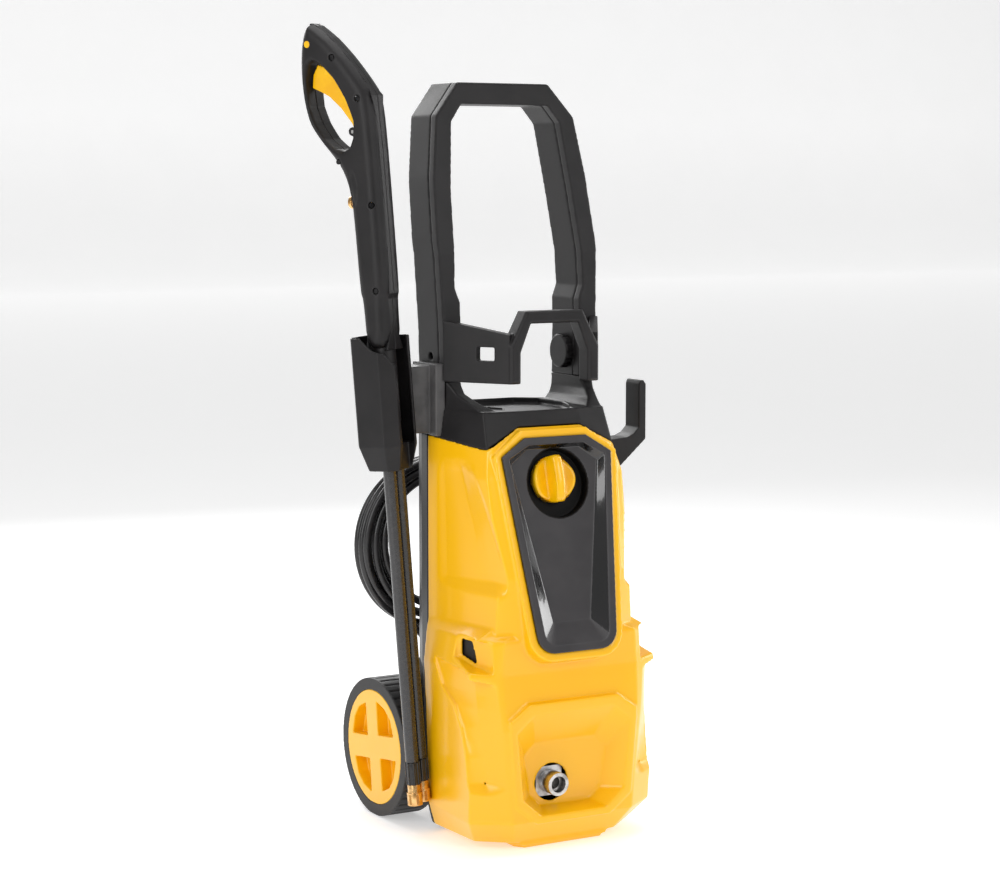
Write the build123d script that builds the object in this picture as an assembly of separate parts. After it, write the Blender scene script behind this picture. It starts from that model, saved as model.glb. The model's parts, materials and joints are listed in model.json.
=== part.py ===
from build123d import *
import os
from math import cos, pi, radians, sin, tan

os.makedirs("parts", exist_ok=True)

# Upright electric pressure washer. Millimetres, +Z up, front towards -Y.
# The origin is on the floor, on the middle plane, at the centre of the front foot's sole.
# Depths are drawn from the seam between the two casing shells, and save() moves every node to the origin.

# ---------------------------------------------------------------- driving dimensions
WALL = 3.0                    # wall of the moulded casings
FIT = 0.25                    # gap all round between mouldings that plug together
RUNNING_FIT = 0.05            # radial clearance of a shaft in its bore

# casing, half widths and depths by level
SOLE_Y = -88.0                # centre of the front foot, from the seam
BASE_Z = 8.0                  # underside of the casing
BEVEL_Z = 36.0                # top of the low bevel all round the base
WAIST_Z = 141.0
SHOULDER_Z = 203.0            # widest level of the lower casing
LEDGE_Z = 241.0               # outer edge of the ledge above the shoulder
NECK_Z = 252.0                # foot of the slim upper casing
CASING_TOP_Z = 473.6          # yellow edge in the middle of the front
SEAM_TOP_Z = 462.0            # casing top at the seam
CORNER_TOP_Z = 450.0          # casing top at the front corners
LOWER_HALF_WIDTH = 121.5
UPPER_HALF_WIDTH = 111.4
FRONT_Y = -138.0              # front face of the lower casing
REAR_Y = 72.0                 # back of the upper casing

# console
CONSOLE_TILT = 12.8           # degrees back from vertical
CONSOLE_TOP_Y = -100.0        # where the shoulders of the console frame lie
CONSOLE_TOP_Z = 443.0
CONSOLE_HALF_WIDTH = 71.5
CONSOLE_FOOT_HALF_WIDTH = 50.0
CONSOLE_LENGTH = 222.0        # shoulders to foot
CONSOLE_CROWN = 20.0          # shoulders to the top edge
CONSOLE_CROWN_HALF_WIDTH = 40.3
CONSOLE_BORDER = 8.5          # flat border round the dished middle
CONSOLE_DISH = 8.0            # depth of the dished middle
POD_MARGIN = 9.0              # yellow band round the console
KNOB_DROP = 27.0              # shoulders to the knob's centre, down the console
BOWL_DROP = 32.0              # shoulders to the middle of the knob's bowl
BOWL_DEPTH = 21.0             # floor of the bowl below the console's border
BOWL_OFFSET = 2.0             # the bowl's middle lies this far to the right
KNOB_DIAMETER = 53.0
KNOB_BOWL_DIAMETER = 78.0
KNOB_SHAFT_DIAMETER = 8.0

# water connection
INLET_X = -17.0
INLET_Z = 73.0
INLET_DIAMETER = 26.4         # 3/4 inch pipe thread, over the crests
INLET_BORE = 18.4
INLET_SPIGOT = 23.0           # the inlet's plain end, pressed into the pump head
PUMP_FACE_Y = -112.0
INLET_FACE_Y = -134.0
INLET_HOLE_DIAMETER = 42.0
OUTLET_X = 44.0
OUTLET_Z = 112.0
OUTLET_DIAMETER = 21.8        # M22 thread of the high pressure outlet, over the crests
OUTLET_FACE_Y = 142.0
POCKET_DEPTH = 20.0

# wheels
WHEEL_DIAMETER = 164.0
WHEEL_WIDTH = 46.0
WHEEL_Y = 97.7
TRACK_OUTER = 132.0           # middle plane to the outer face of a wheel
HUB_DIAMETER = 136.0
AXLE_DIAMETER = 12.0
AXLE_BLOCK_HALF_WIDTH = 78.0  # lower rear casing between the wheels

# handle
HANDLE_FOOT_Z = 522.0
HANDLE_TOP_Z = 860.0
HANDLE_BAR = 25.0             # height of the top bar
LEG_WIDTH = 20.0
LEG_DEPTH = 63.0
HANDLE_STRIP = 14.0           # depth of the front half of the handle
HANDLE_HALF_WIDTH = 105.0     # widest level

CLAMP_Y = 12.0                # clamp screw through each handle foot
CLAMP_Z = 550.0
CLAMP_SCREW_DIAMETER = 8.0
CLAMP_KNOB_DIAMETER = 40.0

# carrying bracket
BRACKET_TOP_Z = 604.0
BRACKET_HALF_WIDTH = 58.0
BRACKET_FRONT_Y = -98.0
BRACKET_BAR = 14.0
BAND_TOP_Z = 580.0
BAND_THICKNESS = 8.0

# stored tools
TOOL_X = -169.0               # tool axis at TOOL_Z
TOOL_Y = 3.0
TOOL_Z = 620.0
TOOL_LEAN_X = -3.9            # degrees, top leaning outwards
TOOL_LEAN_Y = 1.4             # degrees, top leaning back
TOOL_TWIST = 25.0             # degrees from straight ahead to the back of the grip
GUN_THICKNESS = 38.0
GUN_NOSE_DIAMETER = 26.0
LANCE_DIAMETER = 15.0
LANCE_SPACING = 18.1
LANCE_TOP = -168.0            # along the tool axis, from TOOL_Z
LANCE_FOOT = -582.0
HOLDER_TOP = -45.0
HOLDER_FOOT = -196.0

# mains cord
CORD_DIAMETER = 9.4
COIL_RADIUS = 92.0            # middle of the bundle
COIL_BUNDLE_WIDTH = 34.0      # along the machine
COIL_BUNDLE_DEPTH = 28.0      # across the bundle, radially
COIL_X = -22.0
COIL_Y = 140.0
COIL_Z = 316.0


# ---------------------------------------------------------------- small helpers
def prism_xz(points, y_low, y_high):
    """A flat outline in X and Z, as a solid between two depths."""
    face = Plane.XZ * make_face(Polyline(*points, close=True))
    return extrude(Pos(0, y_high, 0) * face, y_high - y_low)


def prism_yz(points, x_low, x_high):
    """A flat outline in Y and Z, as a solid between two sides."""
    face = Plane.YZ * make_face(Polyline(*points, close=True))
    return extrude(Pos(x_low, 0, 0) * face, x_high - x_low)


def prism_xy(points, z_low, z_high):
    face = make_face(Polyline(*points, close=True))
    return extrude(Pos(0, 0, z_low) * face, z_high - z_low)


def mirrored(points):
    """Both halves of an outline given as its right half, from back to front."""
    return list(points) + [(-x, y) for x, y in reversed(points)]


def stack(rings):
    """A faceted solid through flat rings, each a level and its right-half outline."""
    faces = [Pos(0, 0, z) * make_face(Polyline(*mirrored(half), close=True)) for z, half in rings]
    return loft(faces, ruled=True)


def box_between(low, high):
    size = [b - a for a, b in zip(low, high)]
    middle = [(a + b) / 2 for a, b in zip(low, high)]
    return Pos(*middle) * Box(*size)


def rod(start, end, diameter):
    """A round bar from one point to another."""
    line = Vector(*end) - Vector(*start)
    return Plane(origin=start, z_dir=line) * Cylinder(
        diameter / 2, line.length, align=(Align.CENTER, Align.CENTER, Align.MIN))


def both_sides(solid):
    return solid + mirror(solid, about=Plane.YZ)


def save(solid, node):
    solid = Pos(0, -SOLE_Y, 0) * solid
    solid.label = node
    export_step(solid, f"parts/{node}.step")


# ---------------------------------------------------------------- casing outline
def lower_rings(inset):
    """Levels of the lower front casing, drawn in by inset."""
    corner = LOWER_HALF_WIDTH - inset
    back = inset and 1.0
    return [
        (BASE_Z + inset, [(104 - inset, back), (101 - inset, -89 + inset), (66 - inset, -118 + inset)]),
        (BEVEL_Z, [(112 - inset, back), (corner - 2, -110), (78 - inset, FRONT_Y - 1 + inset)]),
        (WAIST_Z, [(114.5 - inset, back), (corner, -117.5), (86 - inset, FRONT_Y + inset)]),
        (SHOULDER_Z, [(117.4 - inset, back), (corner + 1, -116), (88 - inset, FRONT_Y + 7 + inset)]),
        (LEDGE_Z - inset, [(113.5 - inset, back), (corner - 10, -110), (86 - inset, FRONT_Y + 7 + inset)]),
        (NECK_Z, [(UPPER_HALF_WIDTH - inset, back), (92 - inset, -112 + inset), (60 - inset, -124 + inset)]),
    ]


def upper_rings(inset):
    """Levels of the slim upper front casing, drawn in by inset."""
    side = UPPER_HALF_WIDTH - inset
    back = inset and 1.0
    return [
        (NECK_Z - 14 - inset, [(side, back), (90 - inset, -118 + inset), (60 - inset, -134 + inset)]),
        (310.0, [(side, back), (86 - inset, -119 + inset), (66 - inset, -127 + inset)]),
        (419.0, [(side, back), (89 - inset, -98 + inset), (76 - inset, -102 + inset)]),
        (CORNER_TOP_Z, [(side, back), (83 - inset, -87 + inset), (78 - inset, -92 + inset)]),
        (CASING_TOP_Z + inset, [(side, back), (80 - inset, -79 + inset), (72 - inset, -83 + inset)]),
    ]


CONSOLE_PLANE = Plane(
    origin=(0, CONSOLE_TOP_Y, CONSOLE_TOP_Z),
    x_dir=(1, 0, 0),
    z_dir=(0, -cos(radians(CONSOLE_TILT)), sin(radians(CONSOLE_TILT))),
)


def console_outline(margin):
    """The console's outline on its own plane, grown by margin, with a rounded foot."""
    crown = CONSOLE_CROWN + margin
    crown_half = CONSOLE_CROWN_HALF_WIDTH + margin * 0.4
    shoulder = CONSOLE_HALF_WIDTH + margin
    foot = CONSOLE_FOOT_HALF_WIDTH + margin
    half = [(crown_half, crown), (shoulder, margin * 0.2), (foot, -CONSOLE_LENGTH - margin)]
    face = make_face(Polyline(*mirrored(half), close=True))
    low_corners = face.vertices().sort_by(Axis.Y)[:2]
    return fillet(low_corners, 22.0 + margin)


def console_prism(margin, depth_low, depth_high):
    face = Pos(0, 0, depth_low) * console_outline(margin)
    return CONSOLE_PLANE * extrude(face, depth_high - depth_low)


def octagon(half_width, top_half, foot_half, top, high, low, foot):
    """An eight-sided outline in X and Z from its right half."""
    half = [(top_half, top), (half_width, high), (half_width - 8, low), (foot_half, foot)]
    return mirrored(half)


def port_pocket(grow):
    """The eight-sided pocket round the water connection, grown by grow."""
    mouth_y = FRONT_Y - 6
    floor_y = FRONT_Y + POCKET_DEPTH + grow
    mouth = octagon(78 + grow, 55 + grow, 45 + grow, 163 + grow, 144 + grow, 62 - grow, 40 - grow)
    floor = octagon(54 + grow, 39 + grow, 32 + grow, 119 + grow, 106 + grow, 60 - grow, 48 - grow)
    faces = []
    for points, depth in ((mouth, mouth_y), (floor, floor_y)):
        faces.append(Pos(0, depth, 0) * (Plane.XZ * make_face(Polyline(*points, close=True))))
    return loft(faces, ruled=True)


def flank_cutter(side, levels, grow):
    """A ruled cutter beside the casing, from levels of half outlines that it leaves standing."""
    faces = []
    for z, points in levels:
        ring = [(side * (x - grow), y) for x, y in points]
        faces.append(Pos(0, 0, z) * make_face(Polyline(*ring, close=True)))
    return loft(faces, ruled=True)


def flank_pocket(side, grow):
    """The pocket on each flank of the upper casing: a floor that sinks towards the front and a slanted wall."""
    levels = [
        (288 - grow, [(112, -9), (107, -28), (94.2, -88), (87.8, -119.6), (77, -124.6), (84, -165), (140, -165), (140, -9)]),
        (303 - grow, [(112, -9), (102, -30), (86, -87), (82, -102), (76.5, -124), (84, -165), (140, -165), (140, -9)]),
        (424 + grow, [(112, -9), (103, -26), (93.5, -48.5), (93.3, -62), (93.2, -77), (98, -130), (140, -130), (140, -9)]),
        (440 + grow, [(112, -9), (104.4, -26), (98, -48), (93.9, -62), (89.6, -77), (98, -130), (140, -130), (140, -9)]),
    ]
    return flank_cutter(side, levels, grow)


def flank_scoop(side, grow):
    """The long hollow on each lower flank, from the sharp front ridge back; it stays short on the hook's side."""
    levels = []
    for z, ridge, middle, back in ((58 - grow, 80.5, (106, -131), (121.5, -119)),
                                   (80 - grow, 82.5, (101, -117), (119.0, -108)),
                                   (110, 84.8, (104, -117), (118.2, -104)),
                                   (143, 87.3, (107, -113), (117, -92)),
                                   (165, 87.8, (108, -110), (115.8, -76)),
                                   (182, 88.3, (108, -106), (115.2, -46)),
                                   (216 + grow, 88.6, (108, -104), (115, -24))):
        if side > 0 and z > 120:
            middle, back = (104, -122), (119.5, -100)
        levels.append((z, [(ridge, -139.5), middle, back, (150, back[1]), (150, -170), (ridge, -170)]))
    lid = [(-15, 40), (-15, 213 + grow), (-100, 206 + grow), (-140, 187 + grow), (-175, 176 + grow), (-175, 40)]
    return flank_cutter(side, levels, grow) & prism_yz(lid, *sorted((side * 60, side * 200)))


def shoulder_vent(side, grow):
    """The slanted vent on each shoulder, wrapped round the front corner."""
    plan = [(side * (x - grow), y) for x, y in ((140, -69 + grow), (111, -71 + grow), (104, -100), (97, -124),
                                                (103, -140), (140, -140))]
    outline = [(-69 + grow, 243 + grow), (-69 + grow, 219 - grow), (-100, 210 - grow), (-140, 202 - grow),
               (-140, 240 + grow)]
    return prism_xy(plan, 190, 260) & prism_yz(outline, *sorted((side * 60, side * 160)))


TOP_LINE = [(140, 560), (140, SEAM_TOP_Z), (UPPER_HALF_WIDTH, SEAM_TOP_Z), (83, CORNER_TOP_Z),
            (CONSOLE_CROWN_HALF_WIDTH, CASING_TOP_Z)]  # right half of the casing's top edge, seen from the front


def above_casing():
    return prism_xz(mirrored(TOP_LINE), -200, 200)


def below_casing_top():
    """All that lies under the casing's top edge, for what sits on the casing."""
    front = prism_xz(mirrored([(140, 400)] + TOP_LINE[1:]), -200, 0)
    return front + box_between((-140, 0, 400), (140, 200, SEAM_TOP_Z))


def front_shell():
    outer = stack(lower_rings(0)) + stack(upper_rings(0)) + console_prism(POD_MARGIN, -34, -1)
    inner = stack(lower_rings(WALL)) + stack(upper_rings(WALL)) + console_prism(POD_MARGIN - WALL, -60, -1 - WALL)
    rim_outer = octagon(84, 58, 48, 170, 152, 55, 33)
    outer += prism_xz(rim_outer, FRONT_Y - 3, FRONT_Y + 12)
    outer -= port_pocket(0)
    inner -= port_pocket(WALL)
    for side in (-1, 1):
        for cutter in (flank_pocket, flank_scoop, shoulder_vent):
            outer -= cutter(side, 0)
            inner -= cutter(side, WALL)
    shell = outer - inner
    shell -= box_between((-200, 0, -10), (200, 200, 600))
    shell -= above_casing()
    shell -= console_prism(FIT, -3.0, 5)
    shell -= console_prism(-5.0, -40, 5)
    shell -= Pos(INLET_X, FRONT_Y + POCKET_DEPTH, INLET_Z) * Rot(90, 0, 0) * Cylinder(INLET_HOLE_DIAMETER / 2, 30)
    for side in (-1, 1):
        shell -= prism_yz([(-75, 239), (-75, 221), (-100, 213), (-93, 237)], *sorted((side * 90, side * 115)))
    foot = prism_xy([(59.5, -60), (59.5, -104), (50, -116.4), (-50, -116.4), (-59.5, -104), (-59.5, -60)], 0, 6)
    step = prism_xy([(66, -60), (66, -106), (55, -119), (-55, -119), (-66, -106), (-66, -60)], 4, BASE_Z + 2)
    return shell + foot + step - base_feet()


def rear_cover():
    """The black rear casing: a vented upper back and a narrow axle block between the wheels."""
    outer = prism_xy(mirrored([(UPPER_HALF_WIDTH, 0), (108, 20), (84, REAR_Y)]), 190, SEAM_TOP_Z)
    inner = prism_xy(mirrored([(UPPER_HALF_WIDTH - WALL, -1), (108 - WALL, 20 - WALL / 2), (84 - WALL, REAR_Y - WALL)]),
                     190 + WALL, SEAM_TOP_Z + 1)
    apron = stack([
        (BASE_Z, [(104, 0), (102, 9)]),
        (BEVEL_Z, [(112, 0), (109, 9)]),
        (200, [(117, 0), (113, 9)]),
    ])
    apron_inner = prism_xy(mirrored([(95, -1), (95, 9 - WALL)]), BASE_Z + WALL, 200 - WALL)
    side = [(0, BASE_Z), (96, BASE_Z + 12), (124, 44), (124, 130), (REAR_Y, 205), (0, 205)]
    side_in = [(-1, BASE_Z + WALL), (95, BASE_Z + 12 + WALL), (124 - WALL, 46), (124 - WALL, 128),
               (REAR_Y - WALL, 202), (-1, 202)]
    block = prism_yz(side, -AXLE_BLOCK_HALF_WIDTH, AXLE_BLOCK_HALF_WIDTH)
    block_inner = prism_yz(side_in, -AXLE_BLOCK_HALF_WIDTH + WALL, AXLE_BLOCK_HALF_WIDTH - WALL)
    cover = outer + apron + block
    cover -= inner
    cover -= apron_inner
    cover -= block_inner
    cover -= box_between((-75, 10, 185), (75, REAR_Y - WALL, 215))
    slot_count = 9
    slot_pitch = 15.0
    for index in range(slot_count):
        z = 290 + index * slot_pitch
        cover -= box_between((-70, REAR_Y - 6, z), (70, REAR_Y + 2, z + 6))
    axle_bore = Pos(0, WHEEL_Y, WHEEL_DIAMETER / 2) * Rot(0, 90, 0) * Cylinder(AXLE_DIAMETER / 2 + RUNNING_FIT, 300)
    boss = Pos(0, WHEEL_Y, WHEEL_DIAMETER / 2) * Rot(0, 90, 0) * Cylinder(AXLE_DIAMETER / 2 + 5, 156)
    cover += boss - box_between((-60, 60, 0), (60, 140, 200))
    cover -= rod((OUTLET_X, 100, OUTLET_Z), (OUTLET_X, 140, OUTLET_Z), OUTLET_DIAMETER + 2 * FIT)
    return cover - axle_bore


def vent_insert(side):
    """The dark grille behind each shoulder vent."""
    return prism_xy([(side * x, y) for x, y in ((106, -74), (99.3, -102), (95, -102), (101.5, -74))], 208, 240)


# ---------------------------------------------------------------- console and switch
def rounded_foot(points, radius):
    face = make_face(Polyline(*mirrored(points), close=True))
    return fillet(face.vertices().sort_by(Axis.Y)[:2], radius)


def console_panel():
    """A dished panel: a flat border, sloping walls and a flat middle with the knob's bowl."""
    border = CONSOLE_BORDER
    mouth = [(CONSOLE_CROWN_HALF_WIDTH - 4.5, CONSOLE_CROWN - border), (CONSOLE_HALF_WIDTH - border, -2.5),
             (CONSOLE_FOOT_HALF_WIDTH - border, -CONSOLE_LENGTH + border)]
    floor = [(34, 8), (57, -9), (24, -CONSOLE_LENGTH + 34)]
    grown_mouth = [(x + 2.0, y + (2.0 if y > -50 else -2.0)) for x, y in mouth]
    grown_floor = [(x + WALL, y + (WALL if y > -50 else -WALL)) for x, y in floor]
    dish = loft([Pos(0, 0, 1.5) * rounded_foot(mouth, 14.0),
                 Pos(0, 0, -CONSOLE_DISH) * rounded_foot(floor, 3.0)], ruled=True)
    pan = loft([Pos(0, 0, -2.0) * rounded_foot(grown_mouth, 16.0),
                Pos(0, 0, -CONSOLE_DISH - WALL) * rounded_foot(grown_floor, 5.0)], ruled=True)
    bowl = Pos(BOWL_OFFSET, -BOWL_DROP, -BOWL_DEPTH + 12) * Cylinder(KNOB_BOWL_DIAMETER / 2, 24)
    bowl_wall = Pos(BOWL_OFFSET, -BOWL_DROP, -BOWL_DEPTH + 6) * Cylinder(KNOB_BOWL_DIAMETER / 2 + WALL, 18)
    shaft_hole = Pos(0, -KNOB_DROP, -20) * Cylinder(KNOB_SHAFT_DIAMETER / 2 + RUNNING_FIT, 40)
    plate = Pos(0, 0, -3.0) * extrude(console_outline(0), 4.5)
    return CONSOLE_PLANE * (plate + pan + bowl_wall - dish - bowl - shaft_hole)


def selector_knob():
    """A round knob with a raised grip bar across it."""
    base = Pos(0, -KNOB_DROP, -13) * Cylinder(KNOB_DIAMETER / 2, 14)
    base = chamfer(base.edges().filter_by(GeomType.CIRCLE).sort_by(Axis.Z)[-1], 2.0)
    bar = Pos(0, -KNOB_DROP, -2) * Box(15, KNOB_DIAMETER - 5, 14)
    bar = fillet(bar.edges().filter_by(Axis.Y).sort_by(Axis.Z)[-2:], 5.0)
    bore = Pos(0, -KNOB_DROP, -20) * Cylinder(KNOB_SHAFT_DIAMETER / 2, 20)
    return CONSOLE_PLANE * (base + bar - bore)


def knob_shaft():
    return CONSOLE_PLANE * (Pos(0, -KNOB_DROP, -26) * Cylinder(KNOB_SHAFT_DIAMETER / 2, 31.8))


def switch_box():
    """The rotary switch behind the console."""
    body = Pos(0, -KNOB_DROP, -54) * Box(46, 46, 24)
    neck = Pos(0, -KNOB_DROP, -34.2) * Cylinder(9, 20)
    bore = Pos(0, -KNOB_DROP, -34) * Cylinder(KNOB_SHAFT_DIAMETER / 2 + RUNNING_FIT, 30)
    return CONSOLE_PLANE * (body + neck - bore)


# ---------------------------------------------------------------- top collar
def collar_ring(z, front, corner, side, back):
    return (z, [(side - 20, back), (side, back - 22), (side, 0), corner, front])


def horn(side):
    """The fin that sweeps up from the collar to a handle leg."""
    foot = HANDLE_HALF_WIDTH
    levels = [
        (484, [(50, -75), (79, -73), (107.5, 0), (107.5, 54), (70, 54)]),
        (490, [(58, -70), (79, -69), (107.5, 0), (107.5, 52), (74, 52)]),
        (499, [(72, -52), (84, -52), (105, -2), (105, 48), (79, 48)]),
        (509, [(80, -32), (91, -32), (102, -8), (102, 45), (80, 45)]),
        (HANDLE_FOOT_Z, [(foot - LEG_WIDTH - 6, -20), (foot - 9, -20), (foot - 6, -16), (foot - 6, 43),
                         (foot - LEG_WIDTH - 6, 43)]),
    ]
    sections = []
    for z, points in levels:
        sections.append(Pos(0, 0, z) * make_face(Polyline(*[(side * x, y) for x, y in points], close=True)))
    return loft(sections, ruled=True)


def collar_body():
    return stack([
        collar_ring(CORNER_TOP_Z - 1, (44, -93), (83, -87.5), UPPER_HALF_WIDTH + 0.6, REAR_Y),
        collar_ring(491.0, (42, -76.0), (79, -72), 107.5, 62),
    ])


def top_collar():
    """The black top of the casing with an accessory tray between the two handle horns."""
    body = collar_body()
    body -= below_casing_top()
    body -= prism_xy(mirrored([(70, REAR_Y - 14), (92, 30), (92, -20), (60, -66), (34, -70)]), 440, 471)
    for side in (-1, 1):
        body += horn(side)
    tray = prism_xy(mirrored([(30, 48), (54, 30), (56, -20), (38, -71)]), 486.5, 520)
    rim = prism_xy(mirrored([(33, 52), (58, 33), (60, -22), (42, -60)]), 484, 494)
    return body + rim - tray - clamp_bores()


# ---------------------------------------------------------------- handle
HANDLE_FRONT_LINE = [(-20, HANDLE_FOOT_Z), (-21.5, 586), (-17, 667), (-1.5, 738), (12, 815), (20, HANDLE_TOP_Z)]


def handle_side(depth_front, depth_back):
    """The handle's side outline between two depths behind its front line."""
    front = [(y + depth_front, z) for y, z in HANDLE_FRONT_LINE]
    back = [(y + depth_back, z) for y, z in reversed(HANDLE_FRONT_LINE)]
    return prism_yz(front + back, -200, 200)


def handle_ring(inset):
    """The handle seen from the front: an upright loop, open at its feet, with its walls drawn in by inset."""
    wide = HANDLE_HALF_WIDTH - inset
    inner_wide = HANDLE_HALF_WIDTH - LEG_WIDTH + inset
    outer = [(wide - 6, HANDLE_FOOT_Z + inset), (wide - 3, 600), (wide, 680), (wide - 4, 752), (wide - 14, 822),
             (60 - inset * 0.4, HANDLE_TOP_Z - inset)]
    inner = [(inner_wide - 6, HANDLE_FOOT_Z - 1), (inner_wide - 6, 612), (inner_wide, 628), (inner_wide - 1, 667),
             (inner_wide - 5, 738), (inner_wide - 13, 815), (57 + inset * 0.4, HANDLE_TOP_Z - HANDLE_BAR + inset)]
    solid = prism_xz(mirrored(outer), -100, 200)
    return solid - prism_xz(mirrored(inner), -101, 201)


def clamp_bores():
    """The holes through both handle feet for the clamp screws."""
    axis = Pos(0, CLAMP_Y, CLAMP_Z) * Rot(0, 90, 0)
    return axis * Cylinder(CLAMP_SCREW_DIAMETER / 2 + RUNNING_FIT, 300)


def handle_front():
    return handle_ring(0) & handle_side(0, HANDLE_STRIP) - (handle_ring(WALL) & handle_side(WALL, HANDLE_STRIP + 1))


def handle_rear():
    rear = handle_ring(0) & handle_side(HANDLE_STRIP, LEG_DEPTH)
    rear -= handle_ring(WALL) & handle_side(HANDLE_STRIP - 1, LEG_DEPTH - WALL)
    inner_face = HANDLE_HALF_WIDTH - LEG_WIDTH - 6
    for side in (-1, 1):
        rear += Pos(side * (inner_face + 9), CLAMP_Y, CLAMP_Z) * Rot(0, 90, 0) * Cylinder(8, 18)
    return rear - clamp_bores()


def carry_bracket():
    """The front carrying arch and the two bands that join it to the handle legs."""
    half = BRACKET_HALF_WIDTH
    outer = [(half, HANDLE_FOOT_Z + 1), (half, 564), (37, BRACKET_TOP_Z)]
    inner = [(half - BRACKET_BAR, HANDLE_FOOT_Z), (half - BRACKET_BAR, 558), (31, BRACKET_TOP_Z - BRACKET_BAR)]
    arch = prism_xz(mirrored(outer), BRACKET_FRONT_Y, BRACKET_FRONT_Y + 22)
    arch -= prism_xz(mirrored(inner), BRACKET_FRONT_Y - 1, BRACKET_FRONT_Y + 23)
    front_edges = arch.edges().group_by(Axis.Y)[0]
    arch = chamfer(front_edges, 3.0)
    for side in (-1, 1):
        band = [(side * x, y) for x, y in ((103, -21.8), (half, BRACKET_FRONT_Y + 4),
                                           (half - BAND_THICKNESS, BRACKET_FRONT_Y + 10), (92, -21.8))]
        plate = prism_xy(band, HANDLE_FOOT_Z + 1, BAND_TOP_Z + 12)
        plate -= prism_yz([(BRACKET_FRONT_Y, BAND_TOP_Z - 3), (-21, BAND_TOP_Z + 12), (BRACKET_FRONT_Y, BAND_TOP_Z + 12)],
                          *sorted((side * 30, side * 120)))
        slot = Pos(side * 74, -68, 556) * Rot(0, 0, side * 58) * Box(22, 40, 15)
        if side > 0:
            slot = Pos(side * 70, -72, 556) * Rot(0, 0, side * 58) * Box(8, 40, 15)
        arch += plate - slot
    legs = handle_side(-0.02, LEG_DEPTH)
    return arch - legs


def clamp_knob(side):
    """A round hand knob on the inside of a handle foot, with its screw through the foot."""
    inner_face = HANDLE_HALF_WIDTH - LEG_WIDTH - 6
    body = Cylinder(CLAMP_KNOB_DIAMETER / 2, 9)
    body = chamfer(body.edges().filter_by(GeomType.CIRCLE).sort_by(Axis.Z)[0], 1.5)
    for index in range(12):
        body -= Rot(0, 0, index * 30) * Pos(CLAMP_KNOB_DIAMETER / 2 + 1.5, 0, 0) * Cylinder(2.6, 12)
    screw = Pos(0, 0, 12) * Cylinder(CLAMP_SCREW_DIAMETER / 2, 17)
    plane = Plane(origin=(side * (inner_face - 5), CLAMP_Y, CLAMP_Z), x_dir=(0, 1, 0), z_dir=(side, 0, 0))
    return plane * (body + screw)


def side_hook():
    """The hook for the hose on the right flank."""
    outline = [(98, 413), (112, 408), (126, 417), (159.5, 446), (159.5, 511), (156, 515.5), (152, 515.5),
               (150, 511), (150, 460), (143, 453), (134, 449), (98, 447)]
    hook = prism_xz(outline, -40, -10)
    return hook - front_casing_solid()


def front_casing_solid():
    return stack(upper_rings(0))


HOOK_TOP_Z = COIL_Z + COIL_RADIUS - COIL_BUNDLE_DEPTH / 2 - 1.0


def cord_hook():
    """The hook on the back that the coiled cord hangs from."""
    plate = box_between((COIL_X - 18, REAR_Y, 372), (COIL_X + 18, REAR_Y + 5, 440))
    arm = box_between((COIL_X - 10, REAR_Y + 4, HOOK_TOP_Z - 10), (COIL_X + 10, COIL_Y + 26, HOOK_TOP_Z))
    lip = box_between((COIL_X - 10, COIL_Y + 20, HOOK_TOP_Z - 10), (COIL_X + 10, COIL_Y + 26, HOOK_TOP_Z + 18))
    gusset = prism_yz([(REAR_Y + 4, HOOK_TOP_Z - 34), (REAR_Y + 4, HOOK_TOP_Z - 8), (COIL_Y - 22, HOOK_TOP_Z - 8)],
                      COIL_X - 3, COIL_X + 3)
    return plate + arm + lip + gusset - box_between((-120, 0, 0), (120, REAR_Y, 600))


# ---------------------------------------------------------------- tool holder
TOOL_DIRECTION = Vector(sin(radians(TOOL_LEAN_X)), sin(radians(TOOL_LEAN_Y)), 1.0).normalized()
TOOL_PLANE = Plane(
    origin=(TOOL_X, TOOL_Y, TOOL_Z),
    x_dir=Vector(sin(radians(TOOL_TWIST)), -cos(radians(TOOL_TWIST)), 0.0).cross(TOOL_DIRECTION).cross(TOOL_DIRECTION) * -1,
    z_dir=TOOL_DIRECTION,
)
# On this plane X runs to the back of the gun's grip, Z up the tool axis and Y towards the casing.


def holder_section(inset):
    return [(-38 + inset, -12), (-26, -26 + inset), (10, -26 + inset), (23.5 - inset, -14), (23.5 - inset, 17),
            (17, 23 - inset), (-30, 23 - inset), (-38 + inset, 15)]


def holder_solid(inset):
    """The faceted outside of the holder, tapering to its foot."""
    def scaled(points, factor):
        return [(x * factor, y * factor) for x, y in points]
    body = prism_xy(holder_section(inset), HOLDER_FOOT + 28, HOLDER_TOP)
    top = Pos(0, 0, HOLDER_FOOT + 28) * make_face(Polyline(*holder_section(inset), close=True))
    foot = Pos(0, 0, HOLDER_FOOT) * make_face(Polyline(*scaled(holder_section(inset), 0.74), close=True))
    return body + loft([foot, top], ruled=True)


def lance_holder():
    """The sleeve that the gun's nose and the two lances stand in, open above and down its front."""
    shell = holder_solid(0)
    hollow = prism_xy(holder_section(WALL), HOLDER_FOOT + 30, HOLDER_TOP + 1)
    shell -= hollow
    shell -= box_between((13, -9, HOLDER_FOOT - 1), (40, 14, HOLDER_TOP + 1))
    rim = [(-17, HOLDER_TOP + 1), (1.5, HOLDER_TOP - 14), (15, HOLDER_TOP - 18), (30, HOLDER_TOP - 45),
           (40, HOLDER_TOP - 45), (40, HOLDER_TOP + 1)]
    shell -= prism_xz(rim, -40, -8)
    for x, y in LANCE_PLACES:
        shell -= Pos(x, y, HOLDER_FOOT) * Cylinder(LANCE_DIAMETER / 2 + 0.3, 80)
    return TOOL_PLANE * shell


LANCE_PLACES = [(1.5, -LANCE_SPACING / 2), (-0.5, LANCE_SPACING / 2)]


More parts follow.
